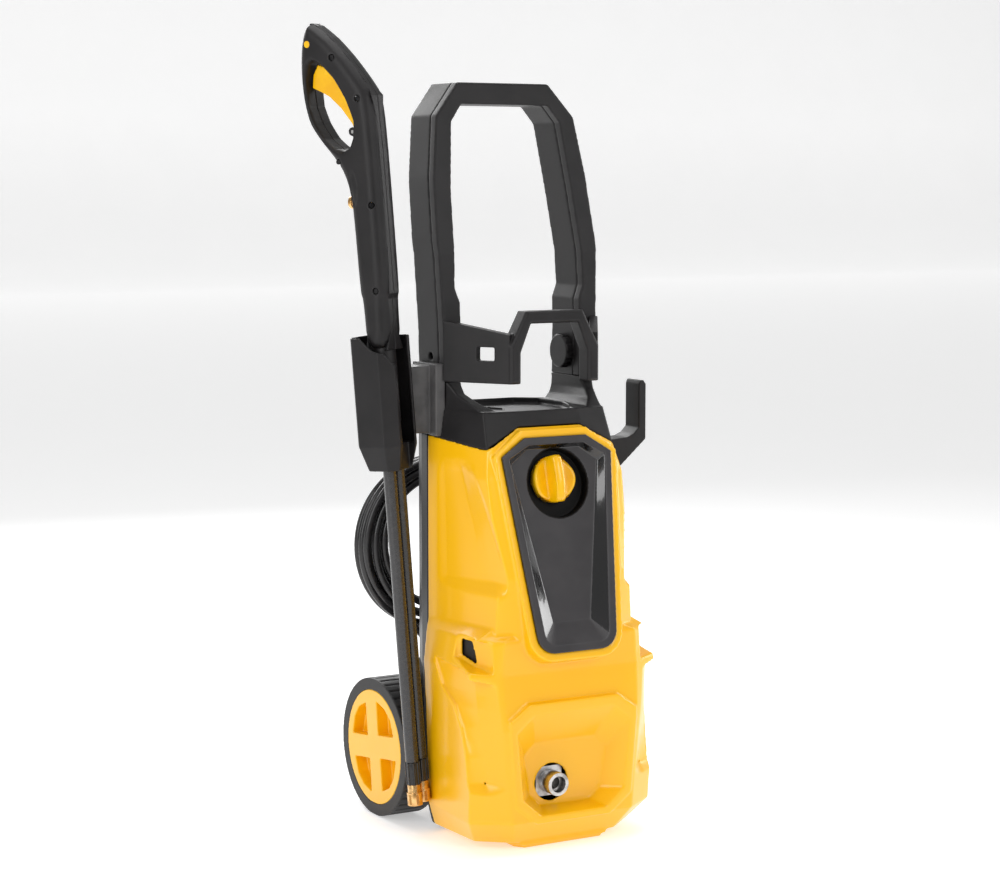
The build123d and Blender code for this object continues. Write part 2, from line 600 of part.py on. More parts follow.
def holder_block():
    """The moulded block that carries the holder on the left handle foot."""
    block = box_between((-158, -6, 464), (-99, 30, 540))
    lip = box_between((-111, -20, 461), (-99, 36, 543))
    block += lip
    block -= TOOL_PLANE * (holder_solid(0) + prism_xy(holder_section(0), HOLDER_TOP, HOLDER_TOP + 60))
    block -= TOOL_PLANE * box_between((-60, -60, -300), (60, 22, 100))
    block -= horn(-1) + handle_ring(0) + below_casing_top() + collar_body()
    return block.solids().sort_by(SortBy.VOLUME)[-1]


# ---------------------------------------------------------------- spray gun
GUN_OUTLINE = [(16, -60), (17, -2), (20, 3), (20, 157), (18, 222), (4, 243), (-16, 268), (-36, 289), (-55, 304),
               (-63, 307.5), (-70, 299), (-76, 281), (-79, 254), (-78, 222), (-72, 195), (-57, 174), (-40, 155),
               (-30, 141), (-23.5, 124), (-20, 99), (-19, 3), (-16, -2), (-15, -60)]
GUN_OPENING = [(-64, 262), (-70, 243), (-69, 215), (-62, 196), (-50, 178), (-35, 166), (-23, 163), (-14, 168), (-8, 180),
               (-7, 196), (-16, 220), (-30, 243), (-46, 259), (-57, 265)]
TRIGGER_OUTLINE = [(-58, 261), (-65.5, 250), (-68, 236), (-56, 230.5), (-44.6, 224.4), (-29.7, 210.8), (-16.4, 194),
                   (-10, 181), (-2, 180), (-5, 195), (-14, 217), (-28, 239), (-45, 256)]
TRIGGER_PIVOT = (-8.0, 184.0)
TRIGGER_PULL = 8.0            # degrees
LOCK_BUTTON = (-62.0, 284.0)
GUN_SCREWS = ((-29, 267), (3, 220), (11, 102), (8, 7), (-31, 152))


def trigger_solid(angle, grow):
    half = 6.5 + grow
    face = make_face(Polyline(*TRIGGER_OUTLINE, close=True))
    if grow:
        face = offset(face, grow, kind=Kind.INTERSECTION)
    flat = extrude(Pos(0, 0, -half) * face, 2 * half)
    turned = Pos(*TRIGGER_PIVOT) * Rot(0, 0, -angle) * Pos(-TRIGGER_PIVOT[0], -TRIGGER_PIVOT[1]) * flat
    return turned


GUN_SIDE_PLANE = Plane(origin=(0, 0, 0), x_dir=(1, 0, 0), z_dir=(0, -1, 0))


def gun_shell(side):
    """Half of the gun's body, with its hand opening, trigger slot and inner hollow."""
    outline = make_face(Polyline(*GUN_OUTLINE, close=True)) - make_face(Polyline(*GUN_OPENING, close=True))
    half = GUN_THICKNESS / 2
    body = extrude(outline, side * half)
    far_edges = body.edges().group_by(Axis.Z)[-1 if side > 0 else 0]
    body = chamfer(far_edges, 3.5)
    hollow = extrude(offset(outline, -WALL, kind=Kind.INTERSECTION), side * (half - WALL))
    body -= hollow
    for step in range(9):
        body -= trigger_solid(TRIGGER_PULL * step / 8, 0.8)
    body += Pos(*TRIGGER_PIVOT, side * (half - 6)) * Cylinder(5, 10)
    body -= Pos(*TRIGGER_PIVOT, 0) * Cylinder(2.05, 2 * half - 3)
    body -= gun_screw_set()
    for x, z in GUN_SCREWS:
        body -= Pos(x, z, half) * Cylinder(3.6, 8)
    body -= Pos(*LOCK_BUTTON) * Cylinder(4 + RUNNING_FIT, 100)
    body -= Pos(-19, 106, 0) * Rot(0, 90, 0) * Cylinder(5.6, 30)
    body -= Pos(0, -40, 0) * Rot(90, 0, 0) * Cylinder(GUN_NOSE_DIAMETER / 2, 60)
    return TOOL_PLANE * (GUN_SIDE_PLANE * body)


def gun_screw_set():
    """The screws through both halves, in the gun's side view."""
    screws = None
    for x, z in GUN_SCREWS:
        screw = Pos(x, z, 4) * Cylinder(1.6, 24) + Pos(x, z, 16) * Cylinder(2.9, 2.4)
        screws = screw if screws is None else screws + screw
    return screws


def gun_trigger():
    blade = trigger_solid(0, 0) - Pos(*TRIGGER_PIVOT) * Cylinder(2 + RUNNING_FIT, 40)
    return TOOL_PLANE * (GUN_SIDE_PLANE * blade)


def gun_pin():
    return TOOL_PLANE * (GUN_SIDE_PLANE * (Pos(*TRIGGER_PIVOT) * Cylinder(2, GUN_THICKNESS - 4)))


def gun_lock_button():
    """The cross bolt that blocks the trigger."""
    button = Pos(*LOCK_BUTTON, 0.4) * Cylinder(4, GUN_THICKNESS - 2)
    return TOOL_PLANE * (GUN_SIDE_PLANE * button)


def gun_valve():
    """The brass valve body inside the barrel, with its hose stub."""
    body = Pos(0, 110) * Rot(90, 0, 0) * Cylinder(8.5, 66)
    stub = Pos(-17, 106) * Rot(0, 90, 0) * Cylinder(5.5, 28)
    collar = Pos(-28, 106) * Rot(0, 90, 0) * Cylinder(7, 4)
    bore = Pos(-27, 106) * Rot(0, 90, 0) * Cylinder(3, 30)
    tube = Pos(0, 20) * Rot(90, 0, 0) * Cylinder(4, 116)
    return TOOL_PLANE * (GUN_SIDE_PLANE * (body + stub + collar + tube - bore))


def gun_spring():
    """The return spring between the valve stem and the trigger."""
    spring = Pos(0, 151) * Rot(90, 0, 0) * (Cylinder(4.5, 15) - Cylinder(3.4, 15))
    return TOOL_PLANE * (GUN_SIDE_PLANE * spring)


def gun_nose():
    """The bayonet socket at the gun's end, that takes a lance."""
    length = 104
    body = Cylinder(GUN_NOSE_DIAMETER / 2, length) - Pos(0, 0, -length / 2) * Cylinder(8.2, 70)
    body -= Pos(0, 0, length / 2) * Cylinder(4.1, 60)
    body -= Pos(0, 0, 6 - length / 2) * Box(5, 60, 12)
    return TOOL_PLANE * (Pos(0, 0, length / 2 - 141) * body)


def gun_screws():
    return TOOL_PLANE * (GUN_SIDE_PLANE * gun_screw_set())


# ---------------------------------------------------------------- lances
GRIP_LENGTH = 26.0            # ribbed moulding above the fittings
COLLAR_LENGTH = 9.0
NUT_LENGTH = 15.0
LANCE_BORE = 6.8


def along_lance(place, low, high, solid):
    """Place a solid of the given height on a lance's axis between two levels."""
    return TOOL_PLANE * (Pos(*place, (low + high) / 2) * solid)


def lance_tube(place):
    low = LANCE_FOOT + NUT_LENGTH + COLLAR_LENGTH + GRIP_LENGTH
    tube = Cylinder(LANCE_DIAMETER / 2, LANCE_TOP - low) - Cylinder(LANCE_BORE / 2, LANCE_TOP - low)
    return along_lance(place, low, LANCE_TOP, tube)


def lance_grip(place):
    """The flared, ribbed moulding at the lance's foot."""
    low = LANCE_FOOT + NUT_LENGTH + COLLAR_LENGTH
    core = Cylinder(LANCE_DIAMETER / 2, GRIP_LENGTH)
    for index in range(8):
        core += Rot(0, 0, index * 45) * Pos(LANCE_DIAMETER / 2, 0, 0) * Box(2.4, 1.8, GRIP_LENGTH)
    core -= Cylinder(LANCE_BORE / 2, GRIP_LENGTH)
    return along_lance(place, low, low + GRIP_LENGTH, core)


def lance_fitting(place):
    """The brass coupling: a collar and a nut."""
    low = LANCE_FOOT
    collar = Pos(0, 0, (NUT_LENGTH + COLLAR_LENGTH) / 2) * Cylinder(7.4, NUT_LENGTH + COLLAR_LENGTH)
    nut = Pos(0, 0, NUT_LENGTH / 2) * Cylinder(8.7, NUT_LENGTH)
    for index in range(6):
        nut -= Rot(0, 0, index * 60 + 30) * Pos(9.3, 0, NUT_LENGTH / 2) * Box(1.8, 3.0, NUT_LENGTH - 4)
    bore = Cylinder(LANCE_BORE / 2, 100)
    return TOOL_PLANE * (Pos(*place, low) * (collar + nut - bore))


# ---------------------------------------------------------------- wheels
def wheel_frame(side):
    """A plane on a wheel's outer face, its Z pointing outwards."""
    return Plane(origin=(side * TRACK_OUTER, WHEEL_Y, WHEEL_DIAMETER / 2), x_dir=(0, 1, 0), z_dir=(side, 0, 0))


def tyre(side):
    ring = Pos(0, 0, -WHEEL_WIDTH / 2) * (Cylinder(WHEEL_DIAMETER / 2, WHEEL_WIDTH)
                                         - Cylinder(HUB_DIAMETER / 2, WHEEL_WIDTH))
    lug_count = 40
    for index in range(lug_count):
        groove = Rot(0, 0, index * 360 / lug_count) * Pos(WHEEL_DIAMETER / 2 + 0.4, 0, -WHEEL_WIDTH / 2)
        ring -= groove * Box(3.2, 3.4, WHEEL_WIDTH - 5)
    return wheel_frame(side) * ring


def hub(side):
    """The yellow wheel body: a rim, a closed boss and four broad spokes."""
    disc = Pos(0, 0, -WHEEL_WIDTH / 2) * Cylinder(HUB_DIAMETER / 2, WHEEL_WIDTH)
    disc -= Pos(0, 0, -WHEEL_WIDTH + 8) * Cylinder(HUB_DIAMETER / 2 - 5, 30)
    disc += Pos(0, 0, -WHEEL_WIDTH / 2 - 2) * Cylinder(17, WHEEL_WIDTH - 4)
    for index in range(4):
        pocket = prism_xy([(13, 14), (52, 13), (47, 32), (35, 45), (15, 54)], -15, 1)
        disc -= Rot(0, 0, index * 90 + 9) * pocket
    disc -= Pos(0, 0, -WHEEL_WIDTH / 2 - 6) * Cylinder(AXLE_DIAMETER / 2 + RUNNING_FIT, WHEEL_WIDTH)
    return wheel_frame(side) * disc


AXLE_END = TRACK_OUTER - 7.0


def axle():
    centre = (WHEEL_Y, WHEEL_DIAMETER / 2)
    return rod((-AXLE_END, *centre), (AXLE_END, *centre), AXLE_DIAMETER)


def axle_spacers():
    """The sleeves between the casing and the wheels."""
    gap_low = AXLE_BLOCK_HALF_WIDTH + 0.2
    gap_high = TRACK_OUTER - WHEEL_WIDTH - 0.3
    centre = (WHEEL_Y, WHEEL_DIAMETER / 2)
    sleeve = rod((gap_low, *centre), (gap_high, *centre), AXLE_DIAMETER + 8)
    sleeve -= rod((gap_low - 1, *centre), (gap_high + 1, *centre), AXLE_DIAMETER + 2 * RUNNING_FIT)
    return both_sides(sleeve)


# ---------------------------------------------------------------- pump and motor
MOTOR_Y = -38.0
MOTOR_DIAMETER = 122.0
MOTOR_LOW = 176.0
MOTOR_HIGH = 330.0
SHAFT_DIAMETER = 12.0
PISTON_DIAMETER = 12.0
PISTON_CIRCLE = 19.0


def turned(diameter, low, high, bore=0.0):
    """A round part on the motor's axis."""
    part = Cylinder(diameter / 2, high - low)
    if bore:
        part -= Cylinder(bore / 2, high - low)
    return Pos(0, MOTOR_Y, (low + high) / 2) * part


def motor_stator():
    return turned(MOTOR_DIAMETER, MOTOR_LOW, MOTOR_HIGH, 66.0)


def motor_end_plates():
    bore = SHAFT_DIAMETER + 16
    return turned(MOTOR_DIAMETER, MOTOR_LOW - 10, MOTOR_LOW, bore) + turned(MOTOR_DIAMETER, MOTOR_HIGH, MOTOR_HIGH + 10, bore)


def motor_bearings():
    outer = SHAFT_DIAMETER + 16
    bore = SHAFT_DIAMETER + 2 * RUNNING_FIT
    return turned(outer, MOTOR_LOW - 10, MOTOR_LOW, bore) + turned(outer, MOTOR_HIGH, MOTOR_HIGH + 10, bore)


def motor_rotor():
    return turned(64.0, MOTOR_LOW + 14, MOTOR_HIGH - 14, SHAFT_DIAMETER)


def motor_shaft():
    return turned(SHAFT_DIAMETER, MOTOR_LOW - 34, MOTOR_HIGH + 34)


def motor_fan():
    """The cooling fan on top of the motor shaft."""
    fan = turned(30.0, MOTOR_HIGH + 12, MOTOR_HIGH + 30, SHAFT_DIAMETER)
    for index in range(7):
        blade = Rot(0, 0, index * 360 / 7) * Pos(32, 0, 0) * Rot(32, 0, 0) * Box(38, 2.5, 20)
        fan += Pos(0, MOTOR_Y, MOTOR_HIGH + 21) * blade
    fan -= turned(SHAFT_DIAMETER, MOTOR_HIGH, MOTOR_HIGH + 60)
    return fan


def swash_plate():
    """The slanted plate on the shaft's foot that works the pistons."""
    block = turned(58.0, MOTOR_LOW - 32, MOTOR_LOW - 12, SHAFT_DIAMETER)
    slant = Pos(0, MOTOR_Y, MOTOR_LOW - 36) * Rot(8, 0, 0) * Box(100, 100, 16)
    return block - slant


def piston_places():
    return [(PISTON_CIRCLE * cos(2 * pi * k / 3), MOTOR_Y + PISTON_CIRCLE * sin(2 * pi * k / 3)) for k in range(3)]


def pump_body():
    """The cylinder block with its three bores, and the frame that holds it under the motor."""
    body = turned(72.0, 96, 124)
    for x, y in piston_places():
        body -= Pos(x, y, 112) * Cylinder(PISTON_DIAMETER / 2 + RUNNING_FIT, 40)
    frame = turned(84.0, 118, MOTOR_LOW - 10, 74.0) + turned(84.0, 116, 122, 72.0)
    return body + frame


def pump_pistons():
    group = None
    for x, y in piston_places():
        piston = Pos(x, y, 117.5) * Cylinder(PISTON_DIAMETER / 2, 35)
        group = piston if group is None else group + piston
    return group


def pump_head():
    """The valve head under the cylinder block, bored for the inlet and the outlet."""
    head = turned(72.0, 52, 96)
    head += box_between((INLET_X - 17, PUMP_FACE_Y, INLET_Z - 17), (INLET_X + 17, MOTOR_Y, INLET_Z + 17))
    head -= Pos(INLET_X, -96, INLET_Z) * Rot(90, 0, 0) * Cylinder(INLET_SPIGOT / 2, 34)
    return head


def water_inlet():
    """The threaded tube that the garden hose coupling screws on."""
    tube = rod((INLET_X, INLET_FACE_Y, INLET_Z), (INLET_X, PUMP_FACE_Y, INLET_Z), INLET_DIAMETER)
    spigot = rod((INLET_X, PUMP_FACE_Y, INLET_Z), (INLET_X, PUMP_FACE_Y + 24, INLET_Z), INLET_SPIGOT)
    return tube + spigot - rod((INLET_X, -160, INLET_Z), (INLET_X, -60, INLET_Z), INLET_BORE)


def inlet_filter():
    screen = Cylinder(INLET_BORE / 2 - 0.3, 18) - Pos(0, 0, 2) * Cylinder(INLET_BORE / 2 - 1.6, 18)
    return Pos(INLET_X, INLET_FACE_Y + 20, INLET_Z) * Rot(90, 0, 0) * screen




def pressure_outlet():
    """The high pressure outlet, from the pump head to the back of the casing."""
    start = MOTOR_Y + 6
    tube = rod((OUTLET_X, start, OUTLET_Z), (OUTLET_X, OUTLET_FACE_Y, OUTLET_Z), OUTLET_DIAMETER - 6)
    thread = rod((OUTLET_X, 126, OUTLET_Z), (OUTLET_X, OUTLET_FACE_Y, OUTLET_Z), OUTLET_DIAMETER)
    bore = rod((OUTLET_X, 60, OUTLET_Z), (OUTLET_X, OUTLET_FACE_Y + 1, OUTLET_Z), OUTLET_DIAMETER - 12)
    arm = box_between((20, start - 14, OUTLET_Z - 10), (OUTLET_X + 8, start + 4, OUTLET_Z + 3))
    return tube + thread + arm - bore - turned(72.4, 40, 130) - turned(84.4, 114, 190)


def capacitor():
    return Pos(62, 36, 300) * Cylinder(18, 90)


def base_feet():
    """The rubber pads under the front foot."""
    return both_sides(Pos(44, SOLE_Y, 1.2) * Cylinder(9, 2.4))


# ---------------------------------------------------------------- mains cord
GLAND_X = 66.0
GLAND_Y = 90.0
GLAND_HIGH_Z = 306.0
GLAND_LOW_Z = 266.0
CORD_ROUTE = [(GLAND_X, GLAND_Y, GLAND_LOW_Z), (GLAND_X, GLAND_Y, 222), (48, 99, 181), (12, 108, 162), (-28, 121, 172),
              (-64, 137, 226)]
PLUG_X = 22.4
PLUG_HIGH_Z = 358.0
PLUG_LEAD = [(COIL_X + 3, COIL_Y, 399), (COIL_X + 23, COIL_Y, 396.5), (COIL_X + 38, COIL_Y, 382),
             (PLUG_X, COIL_Y, PLUG_HIGH_Z)]


def cord_gland():
    """The cord outlet on the back, with its tapered strain relief pointing down."""
    socket = box_between((GLAND_X - 12, REAR_Y, GLAND_HIGH_Z - 6), (GLAND_X + 12, GLAND_Y + 12, GLAND_HIGH_Z + 16))
    taper = GLAND_HIGH_Z - GLAND_LOW_Z
    cone = Pos(GLAND_X, GLAND_Y, GLAND_LOW_Z + taper / 2) * Cone(CORD_DIAMETER / 2 + 1.6, 9, taper)
    return socket + cone


def cord_tube(route):
    """A round cord along a route of straight runs, joined by arcs as wide as the runs allow."""
    radii = []
    for before, corner, after in zip(route, route[1:], route[2:]):
        first = Vector(*corner) - Vector(*before)
        second = Vector(*after) - Vector(*corner)
        turn = radians(first.get_angle(second))
        radii.append(0.45 * min(first.length, second.length) / tan(turn / 2))
    print("cord radii", [round(r, 1) for r in radii])
    path = FilletPolyline(*route, radius=radii)
    start = Plane(origin=path @ 0, z_dir=path % 0)
    return sweep(start * Circle(CORD_DIAMETER / 2), path=path)


def mains_cord():
    """The free stretch of the cord, straight runs joined by wide arcs, from the gland into the coil."""
    return cord_tube(CORD_ROUTE)


def plug_lead():
    """The short end of the cord, from the coil into the plug."""
    return cord_tube(PLUG_LEAD)


def cord_coil():
    """The outer shape of the hanging coil."""
    section = Pos(COIL_RADIUS, 0) * Ellipse(COIL_BUNDLE_DEPTH / 2, COIL_BUNDLE_WIDTH / 2)
    ring = revolve(section, Axis.Y, 360)
    return Pos(COIL_X, COIL_Y, COIL_Z) * ring


def mains_plug():
    """A round earthed plug hanging from the coil."""
    plane = Plane(origin=(PLUG_X, COIL_Y, PLUG_HIGH_Z), x_dir=(1, 0, 0), z_dir=(0, 0, -1))
    neck = Pos(0, 0, 13) * Cone(6, 9, 26)
    body = Pos(0, 0, 42) * Cylinder(18.5, 34)
    body = fillet(body.edges().filter_by(GeomType.CIRCLE).sort_by(Axis.Z)[0], 9.0)
    pins = None
    for x in (-9.5, 9.5):
        pin = Pos(x, 0, 59 + 9) * Cylinder(2.4, 19)
        pins = pin if pins is None else pins + pin
    return plane * (neck + body + pins)


# ---------------------------------------------------------------- write every node
save(front_shell(), "front_shell")
save(rear_cover(), "rear_cover")
save(console_panel(), "console_panel")
save(selector_knob(), "selector_knob")
save(knob_shaft(), "knob_shaft")
save(switch_box(), "switch_box")
save(top_collar(), "top_collar")
save(handle_front(), "handle_front")
save(handle_rear(), "handle_rear")
save(carry_bracket(), "carry_bracket")
save(side_hook(), "side_hook")
save(cord_hook(), "cord_hook")
save(lance_holder(), "lance_holder")
save(holder_block(), "holder_block")
for name, side in (("left", -1), ("right", 1)):
    save(vent_insert(side), f"vent_insert_{name}")
    save(clamp_knob(side), f"clamp_knob_{name}")
    save(tyre(side), f"tyre_{name}")
    save(hub(side), f"wheel_hub_{name}")
save(axle(), "axle")
save(axle_spacers(), "axle_spacers")
save(gun_shell(1), "gun_shell_left")
save(gun_shell(-1), "gun_shell_right")
save(gun_trigger(), "gun_trigger")
save(gun_pin(), "gun_trigger_pin")
save(gun_lock_button(), "gun_lock_button")
save(gun_valve(), "gun_valve")
save(gun_spring(), "gun_spring")
save(gun_nose(), "gun_nose")
save(gun_screws(), "gun_screws")
for name, place in zip(("front", "rear"), LANCE_PLACES):
    save(lance_tube(place), f"lance_tube_{name}")
    save(lance_grip(place), f"lance_grip_{name}")
    save(lance_fitting(place), f"lance_fitting_{name}")
save(motor_stator(), "motor_stator")
save(motor_end_plates(), "motor_end_plates")
save(motor_bearings(), "motor_bearings")
save(motor_rotor(), "motor_rotor")
save(motor_shaft(), "motor_shaft")
save(motor_fan(), "motor_fan")
save(swash_plate(), "swash_plate")
save(pump_body(), "pump_body")
save(pump_pistons(), "pump_pistons")
save(pump_head(), "pump_head")
save(water_inlet(), "water_inlet")
save(inlet_filter(), "inlet_filter")
save(pressure_outlet(), "pressure_outlet")
save(capacitor(), "capacitor")
save(base_feet(), "base_feet")
save(cord_gland(), "cord_gland")
save(mains_cord(), "mains_cord")
save(cord_coil(), "cord_coil")
save(plug_lead(), "plug_lead")
save(mains_plug(), "mains_plug")
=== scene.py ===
import json
from math import atan2, cos, pi, radians, sin, sqrt

import bmesh
import bpy
from mathutils import Matrix, Vector

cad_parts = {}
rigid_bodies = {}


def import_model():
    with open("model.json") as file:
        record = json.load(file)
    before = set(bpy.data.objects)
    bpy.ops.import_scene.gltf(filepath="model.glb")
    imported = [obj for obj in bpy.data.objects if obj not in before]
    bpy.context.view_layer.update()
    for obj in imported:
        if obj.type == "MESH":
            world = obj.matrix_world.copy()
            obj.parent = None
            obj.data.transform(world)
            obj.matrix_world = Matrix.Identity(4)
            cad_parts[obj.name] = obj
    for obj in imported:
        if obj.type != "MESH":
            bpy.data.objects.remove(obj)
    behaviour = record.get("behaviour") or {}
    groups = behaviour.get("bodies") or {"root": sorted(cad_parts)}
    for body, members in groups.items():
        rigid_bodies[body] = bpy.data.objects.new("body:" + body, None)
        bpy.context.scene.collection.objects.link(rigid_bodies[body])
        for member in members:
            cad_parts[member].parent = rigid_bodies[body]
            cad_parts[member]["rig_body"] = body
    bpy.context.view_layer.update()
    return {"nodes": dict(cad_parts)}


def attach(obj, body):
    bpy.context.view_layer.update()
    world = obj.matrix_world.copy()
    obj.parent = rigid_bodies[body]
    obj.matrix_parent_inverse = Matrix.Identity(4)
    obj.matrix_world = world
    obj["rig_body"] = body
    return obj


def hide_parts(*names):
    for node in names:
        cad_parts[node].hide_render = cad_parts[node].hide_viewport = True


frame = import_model()

MM = 0.001
SOLE_TO_SEAM = 88 * MM        # from the origin back to the seam of the casing shells


# ---------------------------------------------------------------- shader maths
class Value:
    """A number that varies over a surface: arithmetic on it adds Math nodes to its finish."""

    def __init__(self, finish, socket):
        self.finish = finish
        self.socket = socket

    def calculate(self, operation, *others):
        node = self.finish.add("ShaderNodeMath", {"operation": operation}, dict(enumerate((self, *others))))
        return Value(self.finish, node.outputs[0])

    def reflected(self, operation, other):
        node = self.finish.add("ShaderNodeMath", {"operation": operation}, {0: other, 1: self})
        return Value(self.finish, node.outputs[0])

    def __add__(self, other):
        return self.calculate("ADD", other)

    __radd__ = __add__

    def __mul__(self, other):
        return self.calculate("MULTIPLY", other)

    __rmul__ = __mul__

    def __sub__(self, other):
        return self.calculate("SUBTRACT", other)

    def __rsub__(self, other):
        return self.reflected("SUBTRACT", other)

    def between(self, low, high):
        """0 below low, 1 above high and smooth in between."""
        node = self.finish.add("ShaderNodeMapRange", {"interpolation_type": "SMOOTHSTEP"},
                               {"Value": self, "From Min": low, "From Max": high})
        return Value(self.finish, node.outputs[0])


class Finish:
    """A procedural material for one moulded, turned or drawn surface."""

    def __init__(self, name, **constants):
        self.material = bpy.data.materials.new(name)
        self.material.use_nodes = True
        self.tree = self.material.node_tree
        self.shader = self.tree.nodes["Principled BSDF"]
        for socket, value in constants.items():
            self.shader.inputs[socket.replace("_", " ")].default_value = value
        self.place = self.add("ShaderNodeTexCoord").outputs["Object"]

    def feed(self, socket, value):
        if isinstance(value, Value):
            value = value.socket
        if isinstance(value, bpy.types.NodeSocket):
            self.tree.links.new(value, socket)
        else:
            socket.default_value = value

    def add(self, kind, settings=(), inputs=()):
        """Any node: its type, its settings, then the values or links of its sockets."""
        node = self.tree.nodes.new(kind)
        for name, value in dict(settings).items():
            setattr(node, name, value)
        for name, value in dict(inputs).items():
            self.feed(node.inputs[name], value)
        return node

    def stretched(self, scale):
        node = self.add("ShaderNodeVectorMath", {"operation": "MULTIPLY"}, {0: self.place, 1: scale})
        return node.outputs[0]

    def noise(self, scale, detail=3.0, vector=None):
        inputs = {"Vector": vector or self.place, "Scale": scale, "Detail": detail}
        node = self.add("ShaderNodeTexNoise", {}, inputs)
        return Value(self, node.outputs["Fac"])

    def cells(self, scale):
        node = self.add("ShaderNodeTexVoronoi", {"feature": "F1"}, {"Vector": self.place, "Scale": scale})
        return Value(self, node.outputs["Distance"])

    def edges(self):
        """0 in hollows, 0.5 on flats, 1 on sharp outer edges."""
        return Value(self, self.add("ShaderNodeNewGeometry").outputs["Pointiness"])

    def blend(self, factor, first, second):
        node = self.add("ShaderNodeMix", {"data_type": "RGBA"}, {0: factor, 6: first, 7: second})
        return node.outputs[2]

    def colour(self, value):
        self.feed(self.shader.inputs["Base Color"], value)

    def roughness(self, value):
        self.feed(self.shader.inputs["Roughness"], value)

    def bump(self, height, distance, strength=1.0):
        node = self.add("ShaderNodeBump", {}, {"Height": height, "Distance": distance, "Strength": strength})
        self.feed(self.shader.inputs["Normal"], node.outputs[0])


def yellow_moulding():
    """Satin yellow polypropylene: a faint flow of deeper tone, a painted highlight that pales the sharp edges,
    rougher hollows and a fine skin.
    """
    finish = Finish("yellow_moulding", IOR=1.48, Coat_Weight=0.25, Coat_Roughness=0.12)
    flow = finish.noise(9.0, 2.0, finish.stretched((1.0, 1.0, 0.35)))
    deep, base, pale = (0.88, 0.43, 0.0, 1), (0.95, 0.50, 0.0, 1), (1.0, 0.60, 0.01, 1)
    body = finish.blend(flow.between(0.35, 0.7), deep, base)
    body = finish.blend(0.72, body, base)
    # Sharp edges painted paler: a painted highlight, not a colour of the plastic.
    finish.colour(finish.blend(finish.edges().between(0.50, 0.60) * 0.7, body, pale))
    skin = finish.cells(1500.0)
    hollows = 1 - finish.edges().between(0.40, 0.50)
    finish.roughness(0.30 + (finish.noise(60.0) - 0.5) * 0.10 + hollows * 0.08)
    finish.bump(skin * 0.35 + finish.noise(320.0, 2.0), 0.00008, 0.35)
    return finish.material


def black_moulding():
    """Black textured polypropylene with a spark-eroded grain and a painted highlight on its sharp edges."""
    finish = Finish("black_moulding", IOR=1.46, Specular_IOR_Level=0.36)
    # Sharp edges: painted paler as a painted highlight, and made a little smoother.
    edge_highlight = finish.edges().between(0.52, 0.62)
    cloud = finish.noise(22.0, 3.0)
    base = finish.blend(cloud.between(0.3, 0.7), (0.0075, 0.0068, 0.0072, 1), (0.0125, 0.0112, 0.0118, 1))
    finish.colour(finish.blend(edge_highlight * 0.5, base, (0.040, 0.038, 0.039, 1)))
    finish.roughness(0.44 + (cloud - 0.5) * 0.16 - edge_highlight * 0.08)
    grain = finish.noise(2300.0, 2.0) + finish.cells(1400.0) * 0.5
    finish.bump(grain, 0.00018, 0.45)
    return finish.material


def grey_moulding():
    """The holder block's paler, drier black plastic, with a painted highlight on its sharp edges."""
    finish = Finish("grey_moulding", IOR=1.46)
    cloud = finish.noise(40.0, 4.0)
    base = finish.blend(cloud.between(0.3, 0.7), (0.050, 0.048, 0.049, 1), (0.085, 0.082, 0.082, 1))
    # Sharp edges painted paler: a painted highlight.
    finish.colour(finish.blend(finish.edges().between(0.52, 0.60) * 0.5, base, (0.17, 0.165, 0.16, 1)))
    finish.roughness(0.50 + (cloud - 0.5) * 0.12)
    finish.bump(finish.noise(1900.0, 2.0), 0.00016, 0.5)
    return finish.material


def gloss_black():
    """High-gloss black of the console's walls; its bowl, glossy too, is given a painted shade of dull near-black
    instead.
    """
    finish = Finish("gloss_black", IOR=1.52, Coat_Weight=0.6, Coat_Roughness=0.04)
    smear = finish.noise(14.0, 3.0)
    dark, pale = (0.004, 0.004, 0.0045, 1), (0.007, 0.0065, 0.0075, 1)
    finish.colour(finish.blend(smear.between(0.4, 0.7), dark, pale))
    finish.roughness(0.10 + smear * 0.08)
    finish.bump(finish.noise(90.0, 2.0), 0.00005, 0.2)
    return finish.material


def satin_panel():
    """Satin dark grey of the console's flat middle and border."""
    finish = Finish("satin_panel", IOR=1.48)
    cloud = finish.noise(30.0, 2.0)
    finish.colour(finish.blend(cloud.between(0.3, 0.7), (0.026, 0.024, 0.026, 1), (0.034, 0.031, 0.033, 1)))
    finish.roughness(0.36 + (cloud - 0.5) * 0.10)
    finish.bump(finish.noise(2600.0, 2.0), 0.0001, 0.3)
    return finish.material


def yellow_gloss():
    """Glossier yellow of the small mouldings: knob, trigger and lock button, with a painted highlight on their sharp
    edges.
    """
    finish = Finish("yellow_gloss", IOR=1.5, Coat_Weight=0.3, Coat_Roughness=0.08)
    cloud = finish.noise(50.0, 2.0)
    base = finish.blend(cloud.between(0.3, 0.7), (0.90, 0.45, 0.0, 1), (0.98, 0.54, 0.0, 1))
    # Sharp edges painted paler: a painted highlight.
    finish.colour(finish.blend(finish.edges().between(0.52, 0.62) * 0.6, base, (1.0, 0.66, 0.04, 1)))
    finish.roughness(0.26 + (cloud - 0.5) * 0.08)
    finish.bump(finish.noise(700.0, 2.0), 0.00006, 0.3)
    return finish.material


